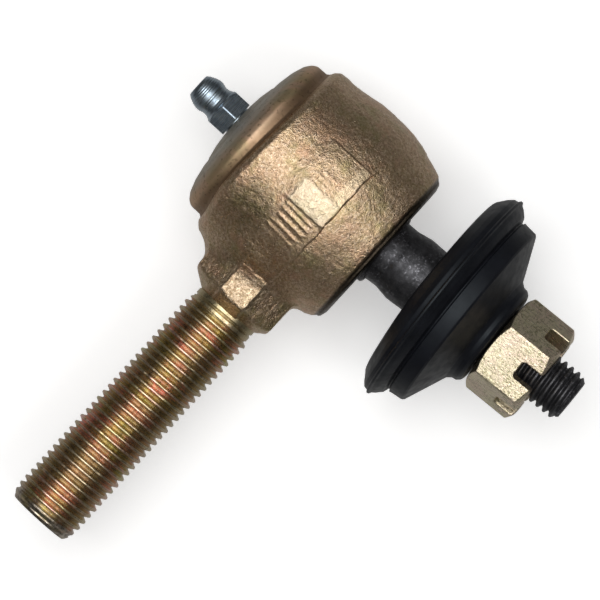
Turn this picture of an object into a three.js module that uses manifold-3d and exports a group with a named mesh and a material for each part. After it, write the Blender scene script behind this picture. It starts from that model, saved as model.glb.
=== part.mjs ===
// Tie rod end: a forged eye with a threaded shank that carries a swivelling
// ball stud, its bearings, cover plate, grease nipple, dust boot and nut.
//
// Millimetres. The part lies on its side, +Z up.
//   +X runs along the shank, out of its threaded end.
//   +Y runs along the eye's bore, towards the side where the stud comes out.
// Inside `assembly` the origin is the centre of the ball; the outer group then
// moves everything so that the row origin is the bottom centre of the box.
import * as THREE from 'three';
import * as BufferGeometryUtils from 'three/addons/utils/BufferGeometryUtils.js';
import Module from 'manifold-3d';

// ---------------------------------------------------------------- dimensions
const GAP = 0.3;                 // clearance between neighbouring solids
const EYE_FACETS = 40;           // facets round the eye and its bore

// forged eye
const EYE_BOTTOM = 13.7;         // y of the stud-side face
const BORE_R = 14.5;             // main bore
const BORE_SHOULDER = 8.9;       // y of the ledge that carries the bearing ring
const COVER_SEAT = -17.0;        // y of the ledge under the cover plate
const COVER_BORE_R = 15.0;
const LIP_UNDERSIDE = -18.8;
const MOUTH_R_IN = 12.4;         // stud opening at the ledge
const MOUTH_R_OUT = 13.3;        // stud opening at the face
const PARTING_Y = 2.8;           // forging parting line

// wrench collar and shank
const COLLAR_X0 = 10.0;
const COLLAR_X1 = 27.4;
const COLLAR_TOP_Z = 9.1;        // the two broad flats
const SHANK_END = 78.4;
const THREAD_START = 29.1;
const SHANK_MAJOR_R = 7.0;       // M14 x 1.5
const SHANK_MINOR_R = 6.15;
const SHANK_PITCH = 1.5;
const RELIEF_R = 6.45;

// ball joint
const BALL_R = 13.0;             // lower half ball
const HEAD_R = 12.7;             // stud head
const SEAT_R = BALL_R + GAP;     // bearing ring seat
const NECK_R = 6.35;
const COLLAR_R = 7.5;            // half ball's collar round the stud
const COLLAR_S = 14.3;           // and its end along the stud

// stud (distances along the stud from the ball centre)
const TAPER_S0 = 24.0, TAPER_R0 = 6.65, TAPER_S1 = 39.9;   // taper 1:8 on diameter
const STUD_END = 57.9;
const STUD_MAJOR_R = 5.0;        // M10 x 1.5
const STUD_MINOR_R = 4.15;
const STUD_PITCH = 1.5;
const PIN_HOLE_R = 1.5, PIN_HOLE_S = 49.4;

// rest attitude of the stud: leans away from the shank and slightly upwards
const LEAN_X = -3.2, LEAN_Z = 4.5;   // degrees

// boot
const BOOT_BORE_R = 6.8;

// castle nut
const NUT_S0 = 40.4, NUT_S1 = 51.4, NUT_AF = 18.2, NUT_BORE_R = 5.35;
const SLOT_W = 3.5, SLOT_DEPTH = 4.4;
const NUT_TURN = 12;             // degrees, face normal from +Z towards +X

// grease nipple
const HEX_AF = 7.3, HEX_Y0 = -22.3, HEX_Y1 = -25.7, NIPPLE_TIP = -31.7;

// row origin, as a position in the assembly frame
const ORIGIN = new THREE.Vector3(27.18, 13.153, -20.245);

// ------------------------------------------------------------------- helpers
const wasm = await Module();
wasm.setup();

// A closed, merged, position-only geometry with no collapsed triangles.
function clean(geometry) {
  let g = geometry.index ? geometry.toNonIndexed() : geometry.clone();
  for (const name of Object.keys(g.attributes)) if (name !== 'position') g.deleteAttribute(name);
  g = BufferGeometryUtils.mergeVertices(g, 1e-4);
  const src = g.index.array, keep = [];
  for (let i = 0; i < src.length; i += 3) {
    const [a, b, c] = [src[i], src[i + 1], src[i + 2]];
    if (a !== b && b !== c && c !== a) keep.push(a, b, c);
  }
  const p = g.attributes.position;
  const A = new THREE.Vector3(), B = new THREE.Vector3(), C = new THREE.Vector3();
  let volume = 0;
  for (let i = 0; i < keep.length; i += 3) {
    A.fromBufferAttribute(p, keep[i]); B.fromBufferAttribute(p, keep[i + 1]); C.fromBufferAttribute(p, keep[i + 2]);
    volume += A.dot(B.cross(C)) / 6;
  }
  if (volume < 0) for (let i = 0; i < keep.length; i += 3) [keep[i + 1], keep[i + 2]] = [keep[i + 2], keep[i + 1]];
  g.setIndex(keep);
  return g;
}

function solid(geometry) {
  const g = clean(geometry);
  return new wasm.Manifold(new wasm.Mesh({
    numProp: 3,
    vertProperties: new Float32Array(g.attributes.position.array),
    triVerts: new Uint32Array(g.index.array),
  }));
}

function geometryOf(manifold) {
  const m = manifold.getMesh();
  const g = new THREE.BufferGeometry();
  const n = m.numProp, count = m.vertProperties.length / n;
  const pos = new Float32Array(count * 3);
  for (let i = 0; i < count; i++) for (let k = 0; k < 3; k++) pos[3 * i + k] = m.vertProperties[n * i + k];
  g.setAttribute('position', new THREE.BufferAttribute(pos, 3));
  g.setIndex(Array.from(m.triVerts));
  return g;
}

// Turned solid about +Y from [radius, y] pairs.
function turned(profile, segments) {
  return new THREE.LatheGeometry(profile.map(([r, y]) => new THREE.Vector2(r, y)), segments);
}

// Turned solid about +X from [radius, x] pairs.
function turnedX(profile, segments) {
  return turned(profile, segments).rotateZ(-Math.PI / 2);
}

function ring(profile, segments) {          // closed cross-section, with a hole
  return turned([...profile, profile[0]], segments);
}

function arc(r, from, to, steps) {          // [radius, y] points on a sphere, degrees from +Y
  const out = [];
  for (let i = 0; i <= steps; i++) {
    const a = THREE.MathUtils.degToRad(from + (to - from) * i / steps);
    out.push([r * Math.sin(a), r * Math.cos(a)]);
  }
  return out;
}

// Right-hand screw thread about +Y from y0 to y1, trimmed by a turned blank.
function threaded(y0, y1, major, minor, pitch, segments) {
  const turns = Math.ceil((y1 - y0) / pitch) + 2, M = turns * segments;
  const crest = [], root = [];
  for (let m = 0; m <= M; m++) {
    const a = 2 * Math.PI * m / segments, y = y0 - pitch + pitch * m / segments;
    const c = Math.cos(a), s = -Math.sin(a);
    crest.push(new THREE.Vector3(major * c, y, major * s));
    root.push(new THREE.Vector3(minor * c, y + pitch / 2, minor * s));
  }
  const v = [];
  const tri = (a, b, c) => v.push(a.x, a.y, a.z, b.x, b.y, b.z, c.x, c.y, c.z);
  for (let m = 0; m < M; m++) {
    tri(crest[m], root[m + 1], root[m]); tri(crest[m], crest[m + 1], root[m + 1]);
    if (m + segments < M) {
      const n = m + segments;
      tri(root[m], crest[n + 1], crest[n]); tri(root[m], root[m + 1], crest[n + 1]);
    }
  }
  const low = new THREE.Vector3(0, y0 - 1.5 * pitch, 0);
  const high = new THREE.Vector3(0, crest[M].y + 1.5 * pitch, 0);
  for (let m = 0; m < segments; m++) tri(low, crest[m + 1], crest[m]);
  tri(low, root[0], crest[segments]); tri(low, crest[0], root[0]);
  const k = M - segments;
  for (let m = k; m < M; m++) tri(high, root[m], root[m + 1]);
  tri(high, root[M], crest[M]); tri(high, crest[M], root[k]);
  const g = new THREE.BufferGeometry();
  g.setAttribute('position', new THREE.Float32BufferAttribute(v, 3));
  return g;
}

function coil(meanR, wireR, y0, y1, turns, stepsPerTurn, sides) {
  class Helix extends THREE.Curve {
    getPoint(t, target = new THREE.Vector3()) {
      const a = 2 * Math.PI * turns * t;
      return target.set(meanR * Math.cos(a), y0 + (y1 - y0) * t, -meanR * Math.sin(a));
    }
  }
  const section = new THREE.Shape();
  for (let i = 0; i < sides; i++) {
    const a = 2 * Math.PI * i / sides;
    if (i === 0) section.moveTo(wireR * Math.cos(a), wireR * Math.sin(a));
    else section.lineTo(wireR * Math.cos(a), wireR * Math.sin(a));
  }
  section.closePath();
  return new THREE.ExtrudeGeometry(section, { steps: Math.round(turns * stepsPerTurn), extrudePath: new Helix(), bevelEnabled: false, curveSegments: 1 });
}

function hexPrism(acrossFlats, y0, y1) {     // axis +Y, one flat facing +Z
  const R = acrossFlats / Math.sqrt(3);
  return new THREE.CylinderGeometry(R, R, y1 - y0, 6).rotateY(Math.PI / 6).translate(0, (y0 + y1) / 2, 0);
}

const metal = (color, roughness, metalness = 1) => new THREE.MeshStandardMaterial({ color, roughness, metalness });
const zincForged = metal(0x9c8458, 0.5);
const zincCover = metal(0xa08a60, 0.4);
const zincClear = metal(0x8797a5, 0.35);
const blackSteel = metal(0x2b2b2d, 0.5);
const bearingSteel = metal(0x55565a, 0.35);
const springSteel = metal(0x6c6a66, 0.4);
const zincNut = metal(0xb79a62, 0.35);
const rubber = new THREE.MeshStandardMaterial({ color: 0x141416, roughness: 0.5, metalness: 0 });

const assembly = new THREE.Group();
function part(parent, name, geometry, material) {
  const mesh = new THREE.Mesh(clean(geometry), material);
  mesh.name = name;
  parent.add(mesh);
  return mesh;
}

// -------------------------------------------------------------------- housing
// Eye: turned outline with a rolled lip, a groove and the parting step.
const eyeOutline = [
  [0, -20.85], [11.6, -20.85], [13.4, -20.45], [15.0, -19.85], [16.2, -19.0], [17.0, -18.0], [17.4, -16.8],
  [17.6, -15.4], [17.9, -14.9], [18.8, -14.3], [19.25, -13.6], [19.35, -11.8], [19.45, -8.6], [19.75, -6.4],
  [20.1, -3.9], [20.15, 0.5], [20.1, PARTING_Y], [19.75, PARTING_Y + 0.25], [19.5, 5.4], [18.9, 7.8], [18.2, 10.0],
  [17.5, 12.2], [16.4, 13.2], [15.6, EYE_BOTTOM], [0, EYE_BOTTOM],
];
let housing = solid(turned(eyeOutline, EYE_FACETS));

// Wrench collar: an eight-sided prism, cut by a cone at the shank end.
const collarShape = new THREE.Shape();
[[-3.5, COLLAR_TOP_Z], [2.4, COLLAR_TOP_Z], [8.5, 4.7], [8.5, -4.7], [2.4, -COLLAR_TOP_Z], [-3.5, -COLLAR_TOP_Z], [-9.6, -4.7], [-9.6, 4.7]]
  .forEach(([y, z], i) => (i ? collarShape.lineTo(-z, y) : collarShape.moveTo(-z, y)));
collarShape.closePath();
const collarPrism = new THREE.ExtrudeGeometry(collarShape, { depth: COLLAR_X1 - COLLAR_X0, bevelEnabled: false })
  .rotateY(Math.PI / 2).translate(COLLAR_X0, 0, 0);
const collarCone = turnedX([[0, COLLAR_X0 - 1], [13, COLLAR_X0 - 1], [13, 22.4], [9.9, 24.5], [5.75, COLLAR_X1], [0, COLLAR_X1]], 28);
const collar = solid(collarPrism).intersect(solid(collarCone));

// Fillet between eye and collar, lower on the stud side.
const root = solid(turnedX([[0, 10], [12.4, 10], [12.4, 17.2], [10.8, 18.7], [9.0, 20.2], [8.0, 21.9], [0, 21.9]], 24).translate(0, -1.8, 0));

// Raised pad on the broad side.
const padRing = solid(turned([[0, -6.6], [20.3, -6.6], [20.55, -6.3], [20.55, PARTING_Y - 0.2], [0, PARTING_Y - 0.2]], EYE_FACETS));
const pad = padRing.intersect(solid(new THREE.BoxGeometry(6.4, 30, 30).translate(1.4, 0, 16)));

// Shank: relief neck, then the thread with a chamfered end.
const relief = solid(turnedX([[0, 20], [RELIEF_R, 20], [RELIEF_R, THREAD_START + 1], [0, THREAD_START + 1]], 20));
const thread = solid(threaded(THREAD_START, SHANK_END, SHANK_MAJOR_R, SHANK_MINOR_R, SHANK_PITCH, 12).rotateZ(-Math.PI / 2))
  .intersect(solid(turnedX([
    [0, THREAD_START], [SHANK_MINOR_R, THREAD_START], [SHANK_MAJOR_R + 0.2, THREAD_START + 1.05],
    [SHANK_MAJOR_R + 0.2, SHANK_END - 1.6], [5.9, SHANK_END], [0, SHANK_END]], 32)));

housing = housing.add(collar).add(root).add(pad).add(relief).add(thread);

// Bore: cover-plate pocket under the rolled lip, main bore, ledge and flared mouth.
housing = housing.subtract(solid(turned([
  [0, -22], [9.8, -22], [9.8, LIP_UNDERSIDE], [COVER_BORE_R, LIP_UNDERSIDE], [COVER_BORE_R, COVER_SEAT], [BORE_R, COVER_SEAT],
  [BORE_R, BORE_SHOULDER], [MOUTH_R_IN, BORE_SHOULDER], [MOUTH_R_OUT, EYE_BOTTOM + 0.01], [MOUTH_R_OUT, 16], [0, 16]], EYE_FACETS)));
part(assembly, 'housing', geometryOf(housing), zincForged);

// ----------------------------------------------------------------- cover plate
const coverPlate = ring([
  [COVER_BORE_R - GAP, -17.3], [COVER_BORE_R - GAP, -18.5], [9.5, -18.5], [9.4, -20.9], [8.4, -21.25], [6.0, -21.75],
  [4.2, -21.98], [3.2, -22.0], [3.2, -20.5], [5.6, -20.2], [7.6, -19.6], [8.2, -17.3],
], 30);
part(assembly, 'cover_plate', coverPlate, zincCover);

// --------------------------------------------------------------- grease nipple
const hexHead = solid(hexPrism(HEX_AF, HEX_Y1 - 0.6, HEX_Y0).rotateY(Math.PI / 6))
  .intersect(solid(turned([[0, HEX_Y0], [4.3, HEX_Y0], [4.3, HEX_Y1 + 0.2], [3.3, HEX_Y1 - 0.6], [0, HEX_Y1 - 0.6]], 24)));
const nippleBarrel = solid(turned([
  [0, -18.6], [2.5, -18.6], [2.85, -19.0], [2.85, HEX_Y0 - 0.4], [3.25, HEX_Y1 - 0.4], [2.75, -26.9], [2.8, -27.5], [3.25, -28.2],
  [3.3, -29.0], [3.1, -30.0], [2.0, NIPPLE_TIP], [0, NIPPLE_TIP]].reverse(), 24));
const nippleBore = solid(turned([
  [0, -18], [0.9, -18], [0.9, -24.4], [1.6, -24.4], [1.6, -30.2], [0.95, -31.2], [0.95, -32], [0, -32]].reverse(), 16));
part(assembly, 'grease_nipple_body', geometryOf(hexHead.add(nippleBarrel).subtract(nippleBore)), zincClear);
part(assembly, 'nipple_check_ball', turned(arc(1.25, 0, 180, 8), 12).translate(0, -29.85, 0), bearingSteel);
part(assembly, 'nipple_spring', coil(1.1, 0.18, -28.1, -24.9, 4, 9, 4), springSteel);

// ----------------------------------------------------- pressure cup and spring
const cupR = BORE_R - GAP;
const pressureCup = ring([
  ...arc(BALL_R, 116.5, 168.0, 7), [2.8, -15.2], [9.6, -15.2], [10.8, -14.4], [11.0, -9.2], [cupR, -9.2], [cupR, -5.8],
], 28);
part(assembly, 'pressure_cup', pressureCup, bearingSteel);
part(assembly, 'pressure_spring', coil(12.9, 0.75, -10.3, -16.2, 2.75, 16, 6), springSteel);

// ---------------------------------------------------------------- bearing ring
const seatRing = ring([
  ...arc(SEAT_R, 88, 57.5, 6), [11.7, 8.6], [cupR - 0.6, 8.6], [cupR, 8.0], [cupR, 0.48],
], 28);
part(assembly, 'bearing_ring', seatRing, bearingSteel);

// --------------------------------------- pieces that lie along the leaning stud
const along = new THREE.Vector3(Math.tan(THREE.MathUtils.degToRad(LEAN_X)), 1, Math.tan(THREE.MathUtils.degToRad(LEAN_Z))).normalize();
const stem = new THREE.Group();
stem.quaternion.setFromUnitVectors(new THREE.Vector3(0, 1, 0), along);
assembly.add(stem);

const halfBall = ring([
  [BALL_R - 0.02, 0.6], ...arc(BALL_R, 85, 36.2, 7), [COLLAR_R, 11.2], [COLLAR_R, COLLAR_S - 0.4], [COLLAR_R - 0.4, COLLAR_S],
  [NECK_R + 0.38, COLLAR_S], [NECK_R + 0.38, 0.6],
], 28);
part(stem, 'half_ball_bearing', halfBall, blackSteel);

// Ball stud: domed head, neck, waist, taper, and the threaded end.
const taperR1 = TAPER_R0 - (TAPER_S1 - TAPER_S0) / 16;
const studBlank = solid(turned([
  ...arc(HEAD_R, 180, 90, 9), [HEAD_R, 0.3], [NECK_R, 0.3], [NECK_R, 14.1], [6.3, 17.0], [6.8, 19.3], [6.8, 20.6],
  [TAPER_R0, TAPER_S0], [taperR1, TAPER_S1], [STUD_MINOR_R, TAPER_S1 + 1.0], [STUD_MINOR_R, TAPER_S1 + 3], [0, TAPER_S1 + 3],
], 28));
const studThread = solid(threaded(TAPER_S1 + 0.4, STUD_END, STUD_MAJOR_R, STUD_MINOR_R, STUD_PITCH, 12))
  .intersect(solid(turned([
    [0, TAPER_S1 + 0.1], [STUD_MINOR_R, TAPER_S1 + 0.1], [STUD_MAJOR_R + 0.2, TAPER_S1 + 1.2],
    [STUD_MAJOR_R + 0.2, STUD_END - 1.5], [3.9, STUD_END], [0, STUD_END]], 24)));
const pinHole = solid(new THREE.CylinderGeometry(PIN_HOLE_R, PIN_HOLE_R, 16, 16).rotateZ(Math.PI / 2)
  .rotateY(THREE.MathUtils.degToRad(NUT_TURN)).translate(0, PIN_HOLE_S, 0));
part(stem, 'ball_stud', geometryOf(studBlank.add(studThread).subtract(pinHole)), blackSteel);

// Dust boot: a rubber cup open towards the eye, with a rounded rim, a parting
// rib, a groove, a band and a conical back that ends in a short neck.
const boot = ring([
  [17.3, 24.5], [18.3, 24.1], [19.3, 24.5], [20.9, 25.6], [21.8, 27.0], [22.5, 27.9], [22.5, 28.3], [21.5, 29.3], [20.7, 30.1],
  [19.7, 30.7], [19.6, 32.0], [19.35, 33.95], [10.8, 37.7], [10.45, 38.9], [10.0, 39.6], [9.3, 40.0],
  [BOOT_BORE_R, 40.0], [BOOT_BORE_R, 36.6], [8.2, 35.6], [16.2, 32.2], [16.6, 31.4], [16.9, 26.0],
], 36);
part(stem, 'dust_boot', boot, rubber);

// Castle nut: six slots, one across the middle of each side.
let nut = solid(hexPrism(NUT_AF, NUT_S0, NUT_S1).rotateY(THREE.MathUtils.degToRad(NUT_TURN)))
  .intersect(solid(turned([
    [0, NUT_S0], [9.1, NUT_S0], [10.6, NUT_S0 + 1.0], [10.6, NUT_S1 - 1.2], [8.9, NUT_S1], [0, NUT_S1]], 24)))
  .subtract(solid(turned([
    [0, NUT_S0 - 1], [6.4, NUT_S0 - 1], [6.4, NUT_S0], [NUT_BORE_R, NUT_S0 + 0.9], [NUT_BORE_R, NUT_S1 - 0.7],
    [6.1, NUT_S1], [6.1, NUT_S1 + 1], [0, NUT_S1 + 1]], 20)));
const slotShape = new THREE.Shape();
const slotFloor = NUT_S1 - SLOT_DEPTH + SLOT_W / 2;
slotShape.moveTo(-SLOT_W / 2, NUT_S1 + 1);
slotShape.lineTo(-SLOT_W / 2, slotFloor);
slotShape.absarc(0, slotFloor, SLOT_W / 2, Math.PI, 2 * Math.PI, false);
slotShape.lineTo(SLOT_W / 2, NUT_S1 + 1);
slotShape.closePath();
for (let i = 0; i < 3; i++) {
  const slot = new THREE.ExtrudeGeometry(slotShape, { depth: 24, bevelEnabled: false, curveSegments: 8 })
    .translate(0, 0, -12).rotateY(THREE.MathUtils.degToRad(NUT_TURN + 60 * i));
  nut = nut.subtract(solid(slot));
}
part(stem, 'castle_nut', geometryOf(nut), zincNut);

// ------------------------------------------------------------------- row frame
assembly.position.copy(ORIGIN).negate();
const tieRodEnd = new THREE.Group();
tieRodEnd.add(assembly);
export default tieRodEnd;
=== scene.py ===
import math
import bpy
import numpy as np
from mathutils import Vector, Matrix


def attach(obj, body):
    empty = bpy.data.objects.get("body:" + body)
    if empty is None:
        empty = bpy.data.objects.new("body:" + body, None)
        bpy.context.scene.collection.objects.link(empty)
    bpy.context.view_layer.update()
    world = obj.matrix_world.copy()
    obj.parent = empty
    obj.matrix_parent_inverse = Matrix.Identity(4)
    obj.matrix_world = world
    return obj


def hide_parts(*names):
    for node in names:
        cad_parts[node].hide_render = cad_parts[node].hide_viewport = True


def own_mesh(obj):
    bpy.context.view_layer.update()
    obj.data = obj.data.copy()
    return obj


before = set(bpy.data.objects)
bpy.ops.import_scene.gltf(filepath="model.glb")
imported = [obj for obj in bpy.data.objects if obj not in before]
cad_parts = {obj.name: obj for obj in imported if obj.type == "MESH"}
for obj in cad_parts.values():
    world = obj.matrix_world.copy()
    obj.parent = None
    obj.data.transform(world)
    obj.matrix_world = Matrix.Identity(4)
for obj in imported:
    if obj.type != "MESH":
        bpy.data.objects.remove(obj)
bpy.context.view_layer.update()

# --------------------------------------------------------------------------
# The assembly frame of the part: origin at the ball centre, millimetres.
# Everything below is written in it and put into the row frame at the end.
# --------------------------------------------------------------------------
ORIGIN = np.array([27.18, 13.153, -20.245])
LEAN_X, LEAN_Z = math.radians(-3.2), math.radians(4.5)
STUD = Vector((math.tan(LEAN_X), 1.0, math.tan(LEAN_Z))).normalized()
STEM = np.array(Vector((0, 1, 0)).rotation_difference(STUD).to_matrix())
PITCH = 1.5


def to_row(p, stem=False):
    p = np.asarray(p, float).reshape(-1, 3)
    if stem:
        p = p @ STEM.T
    return (p - ORIGIN) / 1000.0


# --------------------------------------------------------------------------
# noise and small maths
# --------------------------------------------------------------------------
def smoothstep(a, b, x):
    t = np.clip((x - a) / (b - a), 0, 1)
    return t * t * (3 - 2 * t)


def value_noise(p, seed):
    """Smooth noise from -1 to 1 at points p, one lattice cell per unit."""
    table = np.random.default_rng(seed).uniform(-1, 1, 8192)
    i = np.floor(p).astype(np.int64)
    f = p - i
    f = f * f * f * (f * (f * 6 - 15) + 10)
    out = np.zeros(len(p))
    for dx in (0, 1):
        for dy in (0, 1):
            for dz in (0, 1):
                h = ((i[:, 0] + dx) * 73856093) ^ ((i[:, 1] + dy) * 19349663) ^ ((i[:, 2] + dz) * 83492791)
                w = (f[:, 0] if dx else 1 - f[:, 0]) * (f[:, 1] if dy else 1 - f[:, 1]) * (f[:, 2] if dz else 1 - f[:, 2])
                out += w * table[h & 8191]
    return out


def fractal(p, size, seed, octaves=3, gain=0.5):
    out, a, total = np.zeros(len(p)), 1.0, 0.0
    for k in range(octaves):
        out += a * value_noise(p / size * 2 ** k + 17.3 * k, seed + k)
        total += a
        a *= gain
    return out / total


# --------------------------------------------------------------------------
# mesh building
# --------------------------------------------------------------------------
def clean_faces(faces):
    out = []
    for f in faces:
        g = [f[0]]
        for v in f[1:]:
            if v != g[-1]:
                g.append(v)
        if g[0] == g[-1]:
            g.pop()
        if len(set(g)) == len(g) and len(g) > 2:
            out.append(g)
    return out


def make(name, verts, faces, material, body, node, stem=False, sharp=38.0):
    me = bpy.data.meshes.new(name)
    faces = clean_faces(faces) if not isinstance(faces, np.ndarray) else faces.tolist()
    me.from_pydata([tuple(v) for v in to_row(verts, stem)], [], faces)
    me.validate()
    ob = bpy.data.objects.new(name, me)
    bpy.context.scene.collection.objects.link(ob)
    import bmesh
    bm = bmesh.new()
    bm.from_mesh(me)
    bmesh.ops.remove_doubles(bm, verts=bm.verts, dist=2e-7)
    bmesh.ops.dissolve_degenerate(bm, edges=bm.edges, dist=1e-8)
    bmesh.ops.recalc_face_normals(bm, faces=bm.faces)
    if bm.calc_volume(signed=True) < 0:
        bmesh.ops.reverse_faces(bm, faces=bm.faces)
    limit = math.radians(sharp)
    for f in bm.faces:
        f.smooth = True
    for e in bm.edges:
        e.smooth = not (e.is_manifold and e.calc_face_angle(0) > limit)
    bm.to_mesh(me)
    bm.free()
    for m in material if isinstance(material, (list, tuple)) else [material]:
        me.materials.append(m)
    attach(ob, body)
    if node:
        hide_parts(node)
    return ob


def fillet(points, closed=False, step=0.18):
    """Polyline through (r, y, radius) points with each corner rounded."""
    pts = [(float(p[0]), float(p[1]), float(p[2]) if len(p) > 2 else 0.0) for p in points]
    n, out = len(pts), []
    for i, (r, y, rad) in enumerate(pts):
        if rad <= 0 or (not closed and i in (0, n - 1)):
            out.append((r, y))
            continue
        a, c, b = Vector(pts[i - 1][:2]), Vector((r, y)), Vector(pts[(i + 1) % n][:2])
        u, v = (a - c), (b - c)
        lu, lv = u.length, v.length
        u, v = u / lu, v / lv
        ang = math.acos(max(-1, min(1, u.dot(v))))
        if ang > math.radians(176):
            out.append((r, y))
            continue
        t = min(rad / math.tan(ang / 2), 0.48 * lu, 0.48 * lv)
        rr = t * math.tan(ang / 2)
        centre = c + (u + v).normalized() * (rr / math.sin(ang / 2))
        p0, p1 = c + u * t, c + v * t
        a0 = math.atan2(p0.y - centre.y, p0.x - centre.x)
        a1 = math.atan2(p1.y - centre.y, p1.x - centre.x)
        d = (a1 - a0 + math.pi) % (2 * math.pi) - math.pi
        k = max(3, int(abs(d) * rr / step) + 1)
        out += [(centre.x + rr * math.cos(a0 + d * j / k), centre.y + rr * math.sin(a0 + d * j / k)) for j in range(k + 1)]
    return out


def resample(points, step, closed=False):
    pts = list(points) + ([points[0]] if closed else [])
    out = []
    for (a, b), (c, d) in zip(pts[:-1], pts[1:]):
        k = max(1, int(math.hypot(c - a, d - b) / step))
        out += [(a + (c - a) * j / k, b + (d - b) * j / k) for j in range(k)]
    if not closed:
        out.append(pts[-1])
    return out


def lathe(profile, n=160, closed=False):
    """Turned mesh about +Y: an open profile starts and ends on the axis, a closed one is a ring."""
    verts, rows = [], []
    ang = np.linspace(0, 2 * math.pi, n, endpoint=False)
    for r, y in profile:
        if r < 1e-6:
            rows.append([len(verts)] * n)
            verts.append((0, y, 0))
        else:
            rows.append(list(range(len(verts), len(verts) + n)))
            verts += [(r * math.cos(a), y, -r * math.sin(a)) for a in ang]
    faces = []
    m = len(rows)
    for i in range(m if closed else m - 1):
        a, b = rows[i], rows[(i + 1) % m]
        for j in range(n):
            k = (j + 1) % n
            faces.append([a[j], a[k], b[k], b[j]])
    return np.array(verts, float), faces


def arc(r, a0, a1, k):
    return [(r * math.sin(math.radians(a0 + (a1 - a0) * i / k)), r * math.cos(math.radians(a0 + (a1 - a0) * i / k))) for i in range(k + 1)]


def helix_thread(y0, y1, major, minor, pitch, limit, n=120, per=14, wear=None):
    """Right-hand thread about +Y whose rows follow the helix. limit(y) is the blank's radius."""
    k = per
    h0, h1 = y0 - pitch, y1 + 0.001
    rows_n = int((h1 - h0) / pitch * per) + 1
    ang = np.linspace(0, 2 * math.pi, n, endpoint=False)
    grid = np.arange(rows_n + k + 1)
    verts = np.zeros((len(grid), n, 3))
    for gi in grid:
        frac = (gi % per) / per
        # rounded V: flat crest, rounded root
        w = abs(frac - 0.5) * 2
        shape = np.clip((w - 0.08) / 0.70, 0, 1)
        shape = 0.55 * shape + 0.45 * shape * shape * (3 - 2 * shape)
        r = minor + (major - minor) * shape
        y = h0 + pitch * gi / per + pitch * ang / (2 * math.pi)
        yy = np.clip(y, y0, y1)
        rr = np.minimum(np.full(n, r), limit(yy))
        if wear is not None:
            rr = wear(ang, yy, rr)
        verts[gi] = np.stack([rr * np.cos(ang), yy, -rr * np.sin(ang)], 1)
    idx = lambda i, j: i * n + j
    faces = []
    top = len(grid) - 1
    for i in range(top):
        for j in range(n):
            if j < n - 1:
                faces.append([idx(i, j), idx(i, j + 1), idx(i + 1, j + 1), idx(i + 1, j)])
            elif i + 1 + k <= top:
                faces.append([idx(i, j), idx(i + k, 0), idx(i + k + 1, 0), idx(i + 1, j)])
    return verts.reshape(-1, 3), faces


# signed distances and a surface-nets mesher --------------------------------
def polygon_table(poly, lo, hi, step=0.06):
    """Signed distance (negative inside) to a closed polygon, on a 2-D table."""
    xs, ys = np.arange(lo[0], hi[0] + step, step), np.arange(lo[1], hi[1] + step, step)
    X, Y = np.meshgrid(xs, ys, indexing="ij")
    d2 = np.full(X.shape, 1e9)
    inside = np.zeros(X.shape, bool)
    P = np.array(poly, float)
    Q = np.roll(P, -1, 0)
    for (ax, ay), (bx, by) in zip(P, Q):
        ex, ey = bx - ax, by - ay
        L = ex * ex + ey * ey
        if L < 1e-12:
            continue
        t = np.clip(((X - ax) * ex + (Y - ay) * ey) / L, 0, 1)
        d2 = np.minimum(d2, (X - ax - t * ex) ** 2 + (Y - ay - t * ey) ** 2)
        cross = (ay > Y) != (by > Y)
        if abs(by - ay) > 1e-12:
            inside ^= cross & (X < (bx - ax) * (Y - ay) / (by - ay) + ax)
    D = np.sqrt(d2)
    D[inside] *= -1

    def look(x, y):
        fx = np.clip((x - lo[0]) / step, 0, len(xs) - 1.001)
        fy = np.clip((y - lo[1]) / step, 0, len(ys) - 1.001)
        i, j = fx.astype(int), fy.astype(int)
        u, v = fx - i, fy - j
        return (D[i, j] * (1 - u) * (1 - v) + D[i + 1, j] * u * (1 - v) + D[i, j + 1] * (1 - u) * v + D[i + 1, j + 1] * u * v)

    return look


def smin(a, b, k):
    h = np.maximum(k - np.abs(a - b), 0) / k
    return np.minimum(a, b) - h * h * k * 0.25


def smax(a, b, k):
    return -smin(-a, -b, k)


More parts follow.
